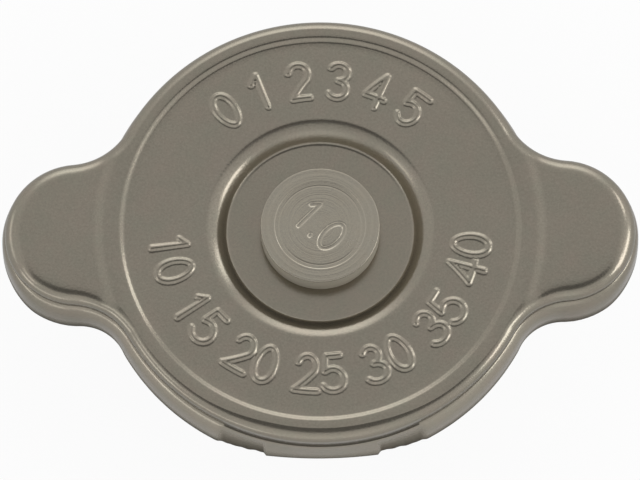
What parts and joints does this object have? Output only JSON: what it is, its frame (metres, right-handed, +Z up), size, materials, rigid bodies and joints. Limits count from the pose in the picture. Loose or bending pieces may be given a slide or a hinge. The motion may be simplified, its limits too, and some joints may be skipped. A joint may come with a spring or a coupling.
{
  "type": "radiator pressure cap",
  "caption": "Pressed-steel radiator pressure cap with finger ears, central rivet and bayonet lugs over a spring-loaded pressure valve and a vacuum relief valve.",
  "frame": {"origin": "middle of the main gasket's lower face, on which the cap stands", "axes": "+Z up out of the cap's face, X along the ears, Y through the two bayonet lugs"},
  "size_m": [0.0668, 0.0462, 0.0243],
  "materials": {
    "shell_steel": "satin plated, fine grained",
    "rivet_alloy": "turned rings",
    "spring_steel": "bright drawn wire",
    "plate_steel": "plated sheet",
    "brass": "satin",
    "seal_rubber": "matt"
  },
  "bodies": {
    "shell": {"cap_shell": "shell_steel", "centre_rivet": "rivet_alloy"},
    "housing": {"spring_diaphragm": "plate_steel", "upper_gasket": "seal_rubber", "swivel_washer": "brass", "spring_housing": "plate_steel", "main_spring": "spring_steel"},
    "pressure_valve": {"valve_plate": "plate_steel", "backing_plate": "plate_steel", "main_gasket": "seal_rubber", "valve_ferrule": "brass", "vacuum_spring": "spring_steel"},
    "vacuum_valve": {"vacuum_valve": "brass", "vacuum_gasket": "seal_rubber", "vacuum_clip": "plate_steel"}
  },
  "joints": [
    {"name": "swivel", "type": "hinge", "parent": "shell", "child": "housing", "pos_m": [0, 0, 0.0201], "axis": [0, 0, 1], "continuous": true},
    {"name": "pressure_lift", "type": "slide", "parent": "housing", "child": "pressure_valve", "axis": [0, 0, 1], "range_m": [0, 0.0025], "stiffness_N_per_m": 4000, "springref_m": -0.012, "deforming": ["main_spring"]},
    {"name": "vacuum_drop", "type": "slide", "parent": "pressure_valve", "child": "vacuum_valve", "axis": [0, 0, -1], "range_m": [0, 0.0008], "stiffness_N_per_m": 60, "springref_m": -0.004, "deforming": ["vacuum_spring"]}
  ]
}
